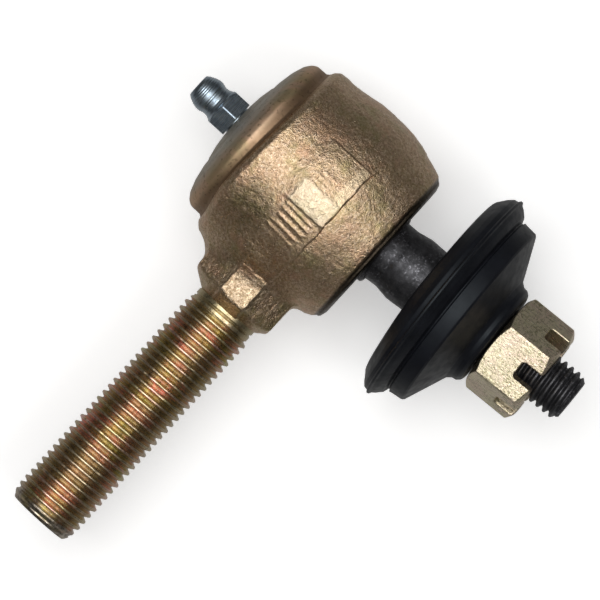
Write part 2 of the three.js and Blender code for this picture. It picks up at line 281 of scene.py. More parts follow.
def surface_nets(f, lo, hi, step, project=2):
    lo, hi = np.array(lo, float), np.array(hi, float)
    n = np.ceil((hi - lo) / step).astype(int) + 1
    ax = [lo[i] + step * np.arange(n[i]) for i in range(3)]
    D = np.empty(tuple(n))
    for i in range(n[0]):
        Y, Z = np.meshgrid(ax[1], ax[2], indexing="ij")
        p = np.stack([np.full(Y.size, ax[0][i]), Y.ravel(), Z.ravel()], 1)
        D[i] = f(p).reshape(n[1], n[2])
    S = D < 0
    cells = np.zeros(tuple(n - 1), int)
    for dx in (0, 1):
        for dy in (0, 1):
            for dz in (0, 1):
                cells += S[dx:n[0] - 1 + dx, dy:n[1] - 1 + dy, dz:n[2] - 1 + dz]
    active = (cells > 0) & (cells < 8)
    ids = -np.ones(active.shape, int)
    ids[active] = np.arange(active.sum())
    c = np.argwhere(active)
    total, count = np.zeros((len(c), 3)), np.zeros(len(c))
    corners = [(0, 0, 0), (1, 0, 0), (0, 1, 0), (1, 1, 0), (0, 0, 1), (1, 0, 1), (0, 1, 1), (1, 1, 1)]
    edges = [(0, 1), (2, 3), (4, 5), (6, 7), (0, 2), (1, 3), (4, 6), (5, 7), (0, 4), (1, 5), (2, 6), (3, 7)]
    for a, b in edges:
        A, B = np.array(corners[a]), np.array(corners[b])
        da = D[tuple((c + A).T)]
        db = D[tuple((c + B).T)]
        x = (da < 0) != (db < 0)
        t = np.where(x, da / np.where(x, da - db, 1), 0)
        total[x] += (A + (B - A) * t[:, None])[x]
        count[x] += 1
    verts = lo + step * (c + total / count[:, None])
    quads = []
    for axis in range(3):
        o = [i for i in range(3) if i != axis]
        sl0 = [slice(1, n[0] - 1), slice(1, n[1] - 1), slice(1, n[2] - 1)]
        sl0[axis] = slice(0, n[axis] - 1)
        sl1 = list(sl0)
        sl1[axis] = slice(1, n[axis])
        s0, s1 = S[tuple(sl0)], S[tuple(sl1)]
        e = np.argwhere(s0 != s1)
        flip = s0[tuple(e.T)]
        base = e.copy()
        for k in range(3):
            base[:, k] += 0 if k == axis else 1
        u, v = np.zeros(3, int), np.zeros(3, int)
        u[o[0]], v[o[1]] = 1, 1
        q = np.stack([ids[tuple((base - u - v).T)], ids[tuple((base - v).T)], ids[tuple(base.T)], ids[tuple((base - u).T)]], 1)
        if axis == 1:
            flip = ~flip
        q[~flip] = q[~flip][:, ::-1]
        quads.append(q)
    quads = np.concatenate(quads)
    quads = quads[(quads >= 0).all(1)]
    # neighbour smoothing keeps the net even, then the vertices go back onto the surface
    nb_a = np.concatenate([quads[:, 0], quads[:, 1], quads[:, 2], quads[:, 3]])
    nb_b = np.concatenate([quads[:, 1], quads[:, 2], quads[:, 3], quads[:, 0]])
    deg = np.bincount(nb_a, minlength=len(verts)) + np.bincount(nb_b, minlength=len(verts))
    eps = 0.02
    for it in range(project + 1):
        if it < project:
            acc = np.zeros_like(verts)
            for k in range(3):
                acc[:, k] = np.bincount(nb_a, verts[nb_b, k], len(verts)) + np.bincount(nb_b, verts[nb_a, k], len(verts))
            verts = 0.5 * verts + 0.5 * acc / np.maximum(deg, 1)[:, None]
        d = f(verts)
        g = np.stack([f(verts + np.eye(3)[k] * eps) - f(verts - np.eye(3)[k] * eps) for k in range(3)], 1) / (2 * eps)
        gg = np.maximum((g * g).sum(1), 0.25)
        move = -(d / gg)[:, None] * g
        length = np.linalg.norm(move, axis=1)
        move *= np.minimum(1, 0.6 * step / np.maximum(length, 1e-9))[:, None]
        verts = verts + move
    return verts, quads


# --------------------------------------------------------------------------
# materials
# --------------------------------------------------------------------------
class Nodes:
    def __init__(self, name):
        self.mat = bpy.data.materials.new(name)
        self.mat.use_nodes = True
        self.nt = self.mat.node_tree
        self.nt.nodes.clear()
        self.out = self.nt.nodes.new("ShaderNodeOutputMaterial")
        self.bsdf = self.nt.nodes.new("ShaderNodeBsdfPrincipled")
        self.nt.links.new(self.bsdf.outputs[0], self.out.inputs[0])
        tc = self.nt.nodes.new("ShaderNodeTexCoord")
        self.co = tc.outputs["Object"]

    def node(self, kind, **props):
        n = self.nt.nodes.new(kind)
        for k, v in props.items():
            setattr(n, k, v)
        return n

    def link(self, a, b):
        self.nt.links.new(a, b)
        return b

    def mapping(self, scale=(1, 1, 1), rot=(0, 0, 0), loc=(0, 0, 0)):
        m = self.node("ShaderNodeMapping")
        m.inputs["Scale"].default_value = scale
        m.inputs["Rotation"].default_value = rot
        m.inputs["Location"].default_value = loc
        self.link(self.co, m.inputs["Vector"])
        return m.outputs[0]

    def noise(self, size_mm, detail=3.0, rough=0.5, vec=None, dist=0.0):
        n = self.node("ShaderNodeTexNoise")
        n.inputs["Scale"].default_value = 1000.0 / size_mm
        n.inputs["Detail"].default_value = detail
        n.inputs["Roughness"].default_value = rough
        n.inputs["Distortion"].default_value = dist
        self.link(vec if vec is not None else self.co, n.inputs["Vector"])
        return n.outputs["Fac"]

    def voronoi(self, size_mm, feature="F1", vec=None):
        n = self.node("ShaderNodeTexVoronoi", feature=feature)
        n.inputs["Scale"].default_value = 1000.0 / size_mm
        self.link(vec if vec is not None else self.co, n.inputs["Vector"])
        return n.outputs["Distance"]

    def ramp(self, fac, stops, mode="LINEAR"):
        r = self.node("ShaderNodeValToRGB")
        r.color_ramp.interpolation = mode
        el = r.color_ramp.elements
        while len(el) < len(stops):
            el.new(0.5)
        for e, (p, c) in zip(el, stops):
            e.position = p
            e.color = (*c, 1) if len(c) == 3 else c
        self.link(fac, r.inputs[0])
        return r.outputs[0]

    def range(self, x, a, b, c, d, clamp=True, mode="LINEAR"):
        n = self.node("ShaderNodeMapRange", clamp=clamp, interpolation_type=mode)
        for i, v in enumerate((a, b, c, d)):
            n.inputs[1 + i].default_value = v
        self.link(x, n.inputs[0])
        return n.outputs[0]

    def math(self, op, a, b=None):
        n = self.node("ShaderNodeMath", operation=op)
        for i, v in enumerate((a, b)):
            if v is None:
                continue
            if isinstance(v, (int, float)):
                n.inputs[i].default_value = v
            else:
                self.link(v, n.inputs[i])
        return n.outputs[0]

    def mix(self, fac, a, b, blend="MIX"):
        n = self.node("ShaderNodeMix", data_type="RGBA", blend_type=blend)
        for sock, v in ((n.inputs[0], fac), (n.inputs[6], a), (n.inputs[7], b)):
            if isinstance(v, (int, float)):
                sock.default_value = v
            elif isinstance(v, tuple):
                sock.default_value = (*v, 1)
            else:
                self.link(v, sock)
        return n.outputs[2]

    def axis(self, name, vec=None):
        s = self.node("ShaderNodeSeparateXYZ")
        self.link(vec if vec is not None else self.co, s.inputs[0])
        return s.outputs[name]

    def bump(self, height, strength, dist_mm, normal=None):
        b = self.node("ShaderNodeBump")
        b.inputs["Strength"].default_value = strength
        b.inputs["Distance"].default_value = dist_mm / 1000.0
        self.link(height, b.inputs["Height"])
        if normal is not None:
            self.link(normal, b.inputs["Normal"])
        return b.outputs[0]

    def set(self, **kw):
        for k, v in kw.items():
            s = self.bsdf.inputs[k.replace("_", " ")]
            if isinstance(v, (int, float)):
                s.default_value = v
            elif isinstance(v, tuple):
                s.default_value = (*v, 1) if len(v) == 3 and s.type == "RGBA" else v
            else:
                self.link(v, s)
        return self.mat


def zinc_forged():
    m = Nodes("yellow_zinc_forged")
    big = m.noise(10.0, 3, 0.55)
    mid = m.noise(1.5, 3, 0.6)
    fine = m.noise(0.52, 3, 0.7)
    hue = m.noise(2.6, 4, 0.7, dist=0.6)
    tint = m.ramp(hue, [(0.26, (0.52, 0.43, 0.21)), (0.40, (0.64, 0.46, 0.29)), (0.52, (0.72, 0.51, 0.38)), (0.62, (0.68, 0.44, 0.35)), (0.76, (0.52, 0.40, 0.26))])
    dull = m.ramp(fine, [(0.32, (0.26, 0.19, 0.115)), (0.50, (0.60, 0.455, 0.31)), (0.64, (1.0, 0.87, 0.72))])
    col = m.mix(0.60, tint, dull)
    grit = m.noise(0.26, 3, 0.7)
    col = m.mix(m.range(grit, 0.30, 0.46, 0.55, 0.0), col, (0.20, 0.15, 0.085))
    col = m.mix(m.range(big, 0.35, 0.7, 0.0, 0.25), col, (0.76, 0.58, 0.43))
    green = m.range(m.noise(6.0, 3, 0.6, vec=m.mapping(loc=(0.2, 0.1, 0.3))), 0.54, 0.70, 0, 0.5)
    col = m.mix(green, col, (0.40, 0.39, 0.18))
    pink = m.range(m.noise(5.0, 3, 0.6, vec=m.mapping(loc=(0.7, 0.4, 0.9))), 0.53, 0.68, 0, 0.38)
    col = m.mix(pink, col, (0.84, 0.49, 0.35))
    pits = m.range(m.voronoi(0.8), 0.0, 0.26, 1, 0)
    pitn = m.range(m.noise(1.3, 2, 0.5), 0.50, 0.64, 0, 1)
    pit = m.math("MULTIPLY", pits, pitn)
    col = m.mix(m.math("MULTIPLY", pit, 0.8), col, (0.07, 0.05, 0.03))
    x, y, z = m.axis("X"), m.axis("Y"), m.axis("Z")

    def band(v, a, b, off, soft=0.35):
        up = m.range(v, (a - off - soft) / 1000, (a - off + soft) / 1000, 0, 1)
        down = m.range(v, (b - off - soft) / 1000, (b - off + soft) / 1000, 1, 0)
        return m.math("MULTIPLY", up, down)

    # painted highlight: the front of the raised pad is lightened where it faces the light
    pad_highlight = m.math("MULTIPLY", band(x, -0.5, 4.5, 27.18), band(y, -5.5, 2.7, 13.153))
    pad_highlight = m.math("MULTIPLY", pad_highlight, m.range(z, (15 + 20.245) / 1000, (17 + 20.245) / 1000, 0, 1))
    pad_highlight = m.math("MULTIPLY", pad_highlight, m.range(m.noise(0.9, 4, 0.65), 0.36, 0.56, 0.22, 0.72))
    col = m.mix(pad_highlight, col, (0.96, 0.86, 0.71))
    # painted highlight: a pale strip along the seam beside the pad
    seam_highlight = m.math("MULTIPLY", band(x, -8.8, -0.5, 27.18), band(y, 0.9, 2.8, 13.153))
    seam_highlight = m.math("MULTIPLY", seam_highlight, m.range(z, (15 + 20.245) / 1000, (17 + 20.245) / 1000, 0, 0.55))
    col = m.mix(seam_highlight, col, (0.95, 0.80, 0.60))
    # a dark green stain beside the lip on the shank side
    stain = m.math("MULTIPLY", band(x, 6.5, 14.0, 27.18, 2.4), band(y, -13.2, -6.0, 13.153, 1.8))
    stain = m.math("MULTIPLY", stain, m.range(m.noise(1.1, 4, 0.75), 0.40, 0.60, 0.15, 0.95))
    col = m.mix(m.math("MULTIPLY", stain, m.range(z, (5.0 + 20.245) / 1000, (9.0 + 20.245) / 1000, 0, 0.66)), col, (0.16, 0.15, 0.07))
    # the pressed flat of the collar is coarser and darker in its pits
    flat = m.range(z, (8.2 + 20.245) / 1000, (8.7 + 20.245) / 1000, 0, 1)
    flat = m.math("MULTIPLY", flat, m.range(z, (9.9 + 20.245) / 1000, (9.5 + 20.245) / 1000, 0, 1))
    flat = m.math("MULTIPLY", flat, m.range(x, (18.6 - 27.18) / 1000, (19.2 - 27.18) / 1000, 0, 1))
    col = m.mix(m.math("MULTIPLY", flat, 0.25), col, (0.94, 0.86, 0.73))
    grain = m.range(m.noise(0.60, 3, 0.75), 0.40, 0.56, 0.8, 0.0)
    col = m.mix(m.math("MULTIPLY", flat, grain), col, (0.26, 0.17, 0.10))
    # painted reflection: the rim chamfer next to the boot is darkened as if it mirrored the black rubber
    rim_boot_reflection = m.range(y, (12.1 - 13.153) / 1000, (12.6 - 13.153) / 1000, 0, 0.92)
    col = m.mix(rim_boot_reflection, col, (0.055, 0.05, 0.045))
    col = m.mix(1.0, col, (0.96, 0.92, 0.82), "MULTIPLY")
    rough = m.range(mid, 0.3, 0.7, 0.26, 0.42)
    n = m.bump(mid, 0.32, 0.14)
    n = m.bump(fine, 0.85, 0.15, n)
    n = m.bump(grit, 0.75, 0.055, n)
    n = m.bump(pit, 0.7, -0.12, n)
    return m.set(Base_Color=col, Metallic=1.0, Roughness=rough, Normal=n)


def zinc_lip():
    m = Nodes("yellow_zinc_rolled")
    hue = m.noise(7.0, 4, 0.6, dist=0.8)
    col = m.ramp(hue, [(0.30, (0.48, 0.41, 0.26)), (0.45, (0.62, 0.47, 0.30)), (0.56, (0.70, 0.50, 0.36)), (0.70, (0.54, 0.43, 0.31))])
    # the lip greys towards its inner edge and reddens at its root
    y = m.axis("Y")
    edge = m.range(y, (-20.6 - 13.153) / 1000, (-17.9 - 13.153) / 1000, 1, 0, mode="SMOOTHSTEP")
    col = m.mix(m.math("MULTIPLY", edge, 0.75), col, (0.42, 0.44, 0.43))
    root = m.range(y, (-16.9 - 13.153) / 1000, (-15.5 - 13.153) / 1000, 0, 1, mode="SMOOTHSTEP")
    red = m.range(m.noise(5.0, 3, 0.6), 0.42, 0.62, 0.2, 1)
    col = m.mix(m.math("MULTIPLY", root, m.math("MULTIPLY", red, 0.6)), col, (0.30, 0.17, 0.13))
    band = m.range(y, (-17.9 - 13.153) / 1000, (-16.5 - 13.153) / 1000, 0, 0.80, mode="SMOOTHSTEP")
    col = m.mix(band, col, (0.28, 0.19, 0.12))
    specks = m.range(m.noise(0.7, 2, 0.5), 0.58, 0.70, 0, 1)
    col = m.mix(m.math("MULTIPLY", specks, 0.5), col, (0.14, 0.10, 0.06))
    col = m.mix(1.0, col, (1.0, 0.96, 0.90), "MULTIPLY")
    rough = m.range(m.noise(1.6, 3, 0.6), 0.3, 0.7, 0.48, 0.58)
    n = m.bump(m.noise(2.6, 3, 0.5), 0.30, 0.14)
    n = m.bump(m.noise(0.5, 2, 0.5), 0.15, 0.03, n)
    return m.set(Base_Color=col, Metallic=1.0, Roughness=rough, Normal=n)


def zinc_bore():
    m = Nodes("yellow_zinc_machined_bore")
    col = m.ramp(m.noise(2.0, 3, 0.6), [(0.3, (0.22, 0.18, 0.12)), (0.7, (0.40, 0.33, 0.22))])
    rings = m.node("ShaderNodeTexWave", bands_direction="Y")
    rings.inputs["Scale"].default_value = 900
    rings.inputs["Distortion"].default_value = 0.6
    m.link(m.co, rings.inputs["Vector"])
    return m.set(Base_Color=col, Metallic=1.0, Roughness=m.range(m.noise(1.0), 0.3, 0.7, 0.3, 0.5), Normal=m.bump(rings.outputs["Fac"], 0.2, 0.03))


def zinc_thread():
    m = Nodes("yellow_zinc_thread")
    # interference colours run round the shank in short broken bands
    vec = m.mapping(scale=(1.0, 0.30, 0.30))
    hue = m.noise(2.6, 4, 0.75, vec=vec, dist=1.1)
    col = m.ramp(hue, [
        (0.26, (0.40, 0.46, 0.20)), (0.36, (0.62, 0.56, 0.22)), (0.44, (0.68, 0.52, 0.26)), (0.50, (0.64, 0.48, 0.30)),
        (0.56, (0.92, 0.50, 0.38)), (0.62, (0.94, 0.50, 0.45)), (0.68, (0.90, 0.56, 0.24)), (0.78, (0.58, 0.50, 0.24))])
    zone = m.range(m.noise(9.0, 2, 0.5), 0.40, 0.58, 0.2, 1.0)
    col = m.mix(zone, (0.58, 0.47, 0.29), col)
    dirt = m.range(m.noise(0.9, 4, 0.7), 0.54, 0.68, 0, 0.7)
    col = m.mix(dirt, col, (0.14, 0.10, 0.055))
    # distance from the shank's axis: painted shade in the roots, a painted shadow line under each crest, greyed crests
    off = m.node("ShaderNodeVectorMath", operation="SUBTRACT")
    off.inputs[1].default_value = (0, -13.153 / 1000, 20.245 / 1000)
    m.link(m.co, off.inputs[0])
    flatten = m.node("ShaderNodeVectorMath", operation="MULTIPLY")
    flatten.inputs[1].default_value = (0, 1, 1)
    m.link(off.outputs[0], flatten.inputs[0])
    span = m.node("ShaderNodeVectorMath", operation="LENGTH")
    m.link(flatten.outputs[0], span.inputs[0])
    r = span.outputs["Value"]
    # painted shade darkens the thread roots
    col = m.mix(m.range(r, 0.00616, 0.00624, 0.5, 0), col, (0.11, 0.075, 0.04))
    # painted shadow: a dark line just under each crest
    crest_shadow_line = m.math("MULTIPLY", m.range(r, 0.00668, 0.00676, 0, 1), m.range(r, 0.00680, 0.00687, 1, 0))
    col = m.mix(m.math("MULTIPLY", crest_shadow_line, 0.42), col, (0.14, 0.10, 0.055))
    col = m.mix(m.range(r, 0.00688, 0.00697, 0, 0.32), col, (0.54, 0.48, 0.38))
    x = m.axis("X")
    plain = m.range(x, (28.2 - 27.18) / 1000, (30.5 - 27.18) / 1000, 0.85, 0, mode="SMOOTHSTEP")
    col = m.mix(plain, col, (0.50, 0.42, 0.25))
    # the first threads are worn back to grey steel
    end = m.range(x, (74.9 - 27.18) / 1000, (76.8 - 27.18) / 1000, 0, 1, mode="SMOOTHSTEP")
    patch = m.range(m.noise(2.0, 3, 0.6), 0.36, 0.56, 0.25, 1)
    worn = m.ramp(m.noise(0.9, 3, 0.7), [(0.32, (0.15, 0.12, 0.09)), (0.5, (0.38, 0.33, 0.27)), (0.7, (0.66, 0.60, 0.52))])
    col = m.mix(m.math("MULTIPLY", end, patch), col, worn)
    rough = m.range(m.noise(0.8, 3, 0.6), 0.3, 0.7, 0.20, 0.40)
    n = m.bump(m.noise(0.6, 3, 0.6), 0.4, 0.07)
    return m.set(Base_Color=col, Metallic=1.0, Roughness=rough, Normal=n)


def zinc_nut():
    m = Nodes("yellow_zinc_nut")
    hue = m.noise(4.0, 4, 0.65, dist=0.7)
    col = m.ramp(hue, [(0.28, (0.66, 0.62, 0.36)), (0.40, (0.80, 0.70, 0.45)), (0.52, (0.84, 0.69, 0.50)), (0.62, (0.80, 0.58, 0.46)), (0.74, (0.64, 0.58, 0.34))])
    speck = m.noise(0.42, 3, 0.75, vec=m.mapping(scale=(1.0, 0.6, 1.0)))
    col = m.mix(m.range(speck, 0.34, 0.48, 0.45, 0), col, (0.30, 0.23, 0.11))
    streak = m.noise(0.32, 3, 0.6, vec=m.mapping(scale=(1.0, 0.07, 1.0)))
    zone = m.range(m.noise(5.0, 2, 0.5), 0.47, 0.60, 0, 1)
    col = m.mix(m.math("MULTIPLY", m.range(streak, 0.38, 0.48, 1, 0), m.math("MULTIPLY", zone, 0.5)), col, (0.24, 0.17, 0.09))
    # most of the flats keep a coarse grain, and broad patches of them are smooth
    coarse = m.noise(0.62, 3, 0.7, vec=m.mapping(scale=(0.8, 1.0, 1.0), loc=(0.05, 0.02, 0.01)))
    where = m.range(m.noise(8.0, 2, 0.5, vec=m.mapping(loc=(0.013, 0.0, 0.004))), 0.42, 0.55, 0.25, 1)
    col = m.mix(m.math("MULTIPLY", m.range(coarse, 0.36, 0.50, 0.65, 0), where), col, (0.26, 0.22, 0.09))
    col = m.mix(0.30, col, (0.98, 0.91, 0.74))
    col = m.mix(m.math("MULTIPLY", m.range(coarse, 0.34, 0.46, 0.55, 0), where), col, (0.24, 0.22, 0.07))
    rough = m.range(streak, 0.3, 0.7, 0.24, 0.38)
    n = m.bump(streak, 0.4, 0.05)
    n = m.bump(speck, 0.8, 0.16, n)
    n = m.bump(m.math("MULTIPLY", coarse, where), 0.45, 0.16, n)
    dots = m.noise(0.30, 3, 0.75, vec=m.mapping(loc=(0.03, 0.07, 0.02)))
    col = m.mix(m.math("MULTIPLY", m.range(dots, 0.36, 0.46, 0.75, 0), where), col, (0.20, 0.18, 0.06))
    n = m.bump(dots, 0.6, 0.07, n)
    return m.set(Base_Color=col, Metallic=1.0, Roughness=rough, Normal=n)


def zinc_clear():
    m = Nodes("clear_zinc_turned")
    col = m.ramp(m.noise(1.6, 3, 0.6), [(0.3, (0.30, 0.37, 0.44)), (0.55, (0.46, 0.54, 0.61)), (0.75, (0.58, 0.64, 0.68))])
    turn = m.noise(0.30, 2, 0.5, vec=m.mapping(scale=(0.05, 1.0, 0.05)))
    rough = m.range(turn, 0.3, 0.7, 0.18, 0.36)
    n = m.bump(turn, 0.45, 0.06)
    n = m.bump(m.noise(0.4, 3, 0.6), 0.15, 0.03, n)
    return m.set(Base_Color=col, Metallic=1.0, Roughness=rough, Normal=n)


def black_oxide(name="black_oxide", scale=1.0):
    m = Nodes(name)
    base = m.ramp(m.noise(1.6, 4, 0.7), [(0.3, (0.035, 0.035, 0.038)), (0.7, (0.10, 0.10, 0.107))])
    spots = m.range(m.noise(0.5, 3, 0.7), 0.54, 0.68, 0, 1)
    zone = m.range(m.noise(5.0, 3, 0.6), 0.44, 0.58, 0.12, 0.9)
    col = m.mix(m.math("MULTIPLY", spots, zone), base, (0.34, 0.34, 0.37))
    rust = m.range(m.noise(3.1, 3, 0.6, vec=m.mapping(loc=(0.31, 0.11, 0.07))), 0.62, 0.74, 0, 0.5)
    col = m.mix(rust, col, (0.05, 0.035, 0.022))
    rough = m.range(m.noise(0.9, 3, 0.6), 0.3, 0.7, 0.34, 0.56)
    n = m.bump(m.noise(0.9, 3, 0.6), 0.35, 0.06)
    n = m.bump(m.noise(0.25, 2, 0.6), 0.25, 0.02, n)
    return m.set(Base_Color=col, Metallic=0.85, Roughness=rough, Normal=n)


def rubber():
    m = Nodes("black_rubber")
    col = m.ramp(m.noise(5.0, 4, 0.6), [(0.3, (0.0035, 0.0037, 0.0055)), (0.7, (0.0085, 0.0092, 0.0130))])
    dust = m.range(m.noise(0.5, 3, 0.7), 0.70, 0.80, 0, 0.4)
    col = m.mix(dust, col, (0.05, 0.05, 0.055))
    rough = m.range(m.noise(2.0, 3, 0.6), 0.3, 0.7, 0.32, 0.50)
    n = m.bump(m.noise(3.0, 3, 0.5), 0.25, 0.10)
    n = m.bump(m.noise(0.22, 2, 0.6), 0.15, 0.02, n)
    return m.set(Base_Color=col, Metallic=0.0, Roughness=rough, Normal=n, Specular_IOR_Level=0.27, Specular_Tint=(0.82, 0.93, 1.0))


def ground_steel(name, dark=0.36):
    m = Nodes(name)
    col = m.ramp(m.noise(1.8, 3, 0.6), [(0.3, (dark * 0.8, dark * 0.8, dark * 0.82)), (0.7, (dark * 1.25, dark * 1.24, dark * 1.22))])
    streak = m.noise(0.3, 3, 0.6, vec=m.mapping(scale=(0.15, 1, 0.15)))
    return m.set(Base_Color=col, Metallic=1.0, Roughness=m.range(streak, 0.3, 0.7, 0.18, 0.36), Normal=m.bump(streak, 0.2, 0.02))


MAT = {
    "forged": zinc_forged(), "lip": zinc_lip(), "bore": zinc_bore(), "thread": zinc_thread(), "nut": zinc_nut(),
    "clear": zinc_clear(), "black": black_oxide(), "rubber": rubber(), "bearing": ground_steel("ground_bearing_steel"),
    "spring": ground_steel("drawn_spring_wire", 0.28),
}

# --------------------------------------------------------------------------
# housing: eye, wrench collar and shank
# --------------------------------------------------------------------------
EYE = fillet([
    (9.8, -18.8, 0), (9.8, -20.5, 0.3), (10.3, -20.98, 0.5), (13.2, -20.42, 2.0), (15.5, -19.62, 2.0), (16.7, -18.75, 1.8), (17.3, -17.75, 1.4),
    (17.3, -16.5, 1.2), (17.32, -15.6, 0.3), (17.75, -15.05, 0.15), (18.55, -14.62, 0.4), (19.3, -13.75, 0.7), (19.4, -12.2, 1), (19.3, -10.6, 3),
    (19.45, -8.4, 3), (19.8, -6.2, 3), (20.12, -3.9, 3), (20.17, -1.2, 3), (20.1, 1.2, 3), (20.02, 2.6, 3), (19.8, 4.3, 3), (19.3, 6.4, 4), (18.6, 8.6, 4),
    (17.9, 11.0, 3), (17.4, 12.2, 0.6), (16.2, 13.35, 0.5), (15.0, 13.7, 0.3), (13.7, 13.7, 0.3), (13.25, 13.4, 0.2), (12.4, 8.9, 0), (14.5, 8.9, 0), (14.5, -17.0, 0), (15.0, -17.0, 0), (15.0, -18.8, 0),
], closed=True, step=0.12)
eye_sd = polygon_table(EYE, (0, -24), (26, 17))
COLLAR_POLY = [(-3.5, 9.1), (2.4, 9.1), (8.5, 4.7), (8.5, -4.7), (2.4, -9.1), (-3.5, -9.1), (-9.6, -4.7), (-9.6, 4.7)]
shrunk = [(y * 0.965, z * 0.965) for y, z in COLLAR_POLY]
collar_sd = polygon_table(shrunk, (-16, -16), (16, 16), 0.08)


def seam_height(x):
    return 3.0 + 0.45 * np.maximum(-8.3 - x, 0) + 0.10 * np.sin(x * 1.3) - 0.35 * smoothstep(6, 16, x)


RIDGES = [(5.3, 0.17, 0.26), (6.5, 0.20, 0.28), (7.8, 0.19, 0.32), (9.2, 0.17, 0.30), (10.4, 0.12, 0.26)]
RIDGES_R = [(-1.4, 0.07, 0.24), (-2.4, 0.08, 0.24), (-3.5, 0.07, 0.24)]


def lip_shift(x, y, z):
    """The forging reaches a little further up the lip on its front."""
    front = smoothstep(3.0, 11.0, z)
    along = np.clip((x + 9.5) / 16.0, 0, 1) * smoothstep(17.5, 10.0, x)
    return 0.95 * front * along * smoothstep(-17.4, -15.9, y) * smoothstep(-11.5, -13.6, y)


def relief(p, r):
    """Forging relief on the eye, as a change of radius."""
    x, y, z = p[:, 0], p[:, 1], p[:, 2]
    hs = seam_height(x)
    body = smoothstep(-14.6, -13.4, y)
    front = smoothstep(6, 10, z)
    depth = 0.10 + 0.12 * smoothstep(-12, -8, x)
    out = -depth * smoothstep(-0.08, 0.14, y - hs)
    out -= 0.07 * smoothstep(-12, -9, x) * np.exp(-((y - hs - 0.12) / 0.14) ** 2)
    wob = 0.3 * value_noise(np.stack([x * 0.7, y * 0.7, z * 0], 1), 91)
    up = smoothstep(-7.6, -6.0, y + wob) * smoothstep(0.1, -0.1, y - hs)
    pad = smoothstep(-9.0, -8.75, x) * smoothstep(5.2, 4.2, x)
    out += front * up * pad * 0.10
    patch = smoothstep(-1.1, -0.1, x + 0.5 * wob) * smoothstep(4.7, 4.3, x) * smoothstep(-6.2, -5.0, y + wob)
    out += front * up * patch * 0.15
    for rx, a, w in RIDGES:
        lean = 0.06 * (y + 2)
        out += front * smoothstep(-5.6, -4.4, y + 2 * wob) * smoothstep(1.7, 0.6, y + wob) * a * np.exp(-((x - rx - lean) / w) ** 2)
    for rx, a, w in RIDGES_R:
        out += front * smoothstep(-5.0, -4.0, y) * smoothstep(-0.4, -1.4, y) * a * np.exp(-((x - rx) / w) ** 2)
    out += front * 0.07 * np.exp(-((x + 8.7) / 0.16) ** 2) * smoothstep(-4.8, -4.0, y) * smoothstep(0.2, -0.2, y - hs)
    return out * body


def housing_sd(p):
    x, y, z = p[:, 0], p[:, 1], p[:, 2]
    r = np.sqrt(x * x + z * z)
    outside = r > 16.5
    d = eye_sd(r, y + lip_shift(x, y, z))
    near = outside & (np.abs(d) < 1.6) & (y > -15)
    if near.any():
        q = p[near]
        rel = relief(q, r[near])
        n = value_noise(q / 3.6, 5) * 0.045 + value_noise(q / 1.5, 6) * 0.028 + value_noise(q / 0.72, 7) * 0.042
        shift = lip_shift(q[:, 0], q[:, 1], q[:, 2])
        n *= smoothstep(-14.9, -14.2, q[:, 1] + shift) * smoothstep(13.4, 12.0, q[:, 1])
        d[near] -= rel + n
    # collar
    c = np.full(len(p), 50.0)
    m = (x > 9) & (x < 31) & (np.abs(y) < 15) & (np.abs(z) < 15)
    if m.any():
        q = p[m]
        qx, qy, qz = q[:, 0], q[:, 1], q[:, 2]
        rr = np.sqrt(qy * qy + qz * qz)
        prism = collar_sd(qy, qz) - 0.32
        cone = (rr - 9.95 + (qx - 24.45) * 1.42) / 1.737
        k = smax(smax(prism, cone, 0.5), qx - 27.2, 0.3)
        k = np.maximum(k, 13.0 - qx)
        # low root on the nipple side
        qr = np.sqrt((qy + 2.2) ** 2 + qz * qz)
        base = smax((qr - 10.2 + (qx - 18.8) * 0.80) / 1.28, qx - 22.3, 0.8)
        base = smax(base, qr - 12.4 - 0.10 * (qx - 13.0), 1.0)
        base = np.maximum(base, 13.0 - qx)
        k = smin(k, base, 1.2)
        # the parting step crosses the collar too
        k += 0.18 * smoothstep(-0.1, 0.2, qy - 2.35) * smoothstep(14, 16, qx)
        raised = smoothstep(18.35, 18.7, qx + 0.12 * np.sin(qy * 2.1)) * smoothstep(-3.75, -3.45, qy) * smoothstep(2.3, 2.1, qy + 0.06 * np.sin(qx * 2.3)) * (qz > 4)
        k -= 0.20 * raised
        stub = np.maximum(rr - 5.9, qx - 29.4)
        k = smin(k, stub, 0.5)
        bumps = value_noise(q / 2.6, 21) * 0.05 + value_noise(q / 1.2, 22) * 0.035 + value_noise(q / 0.7, 23) * 0.045
        flat = smoothstep(0.4, 0.0, np.abs(qz) - 9.3) * smoothstep(8.3, 8.8, np.abs(qz))
        bumps *= (1 - 0.35 * flat) * smoothstep(27.0, 25.6, qx)
        k -= bumps
        c[m] = k
    blendk = 1.1 + 1.9 * smoothstep(2.0, -7.0, y)
    d = smin(d, c, blendk)
    if m.any():
        ln = (x > 13.2) & (x < 15.2) & (y > -5.5) & (y < 0.8) & (z > 5)
        d[ln] -= 0.04 * np.exp(-((x[ln] - 14.2 - 0.03 * y[ln]) / 0.10) ** 2) * smoothstep(-5.3, -4.8, y[ln]) * smoothstep(0.6, 0.1, y[ln])
    # the bore stays clean where the collar's root would reach into it
    bore = np.maximum(r - 14.5, np.maximum(y - 8.9, -17.0 - y))
    return np.maximum(d, -bore)


def paint_faces(ob, chooser):
    me = ob.data
    n = len(me.polygons)
    c = np.zeros(n * 3)
    me.polygons.foreach_get("center", c)
    c = c.reshape(-1, 3) * 1000 + ORIGIN
    nrm = np.zeros(n * 3)
    me.polygons.foreach_get("normal", nrm)
    me.polygons.foreach_set("material_index", chooser(c, nrm.reshape(-1, 3)).astype(np.int32))


STEP = 0.22
v, q = surface_nets(housing_sd, (-22, -22.5, -22), (31.5, 15.0, 22), STEP)
eye = make("forged_eye", v, q, [MAT["forged"], MAT["lip"], MAT["bore"]], "eye", "housing", sharp=50)


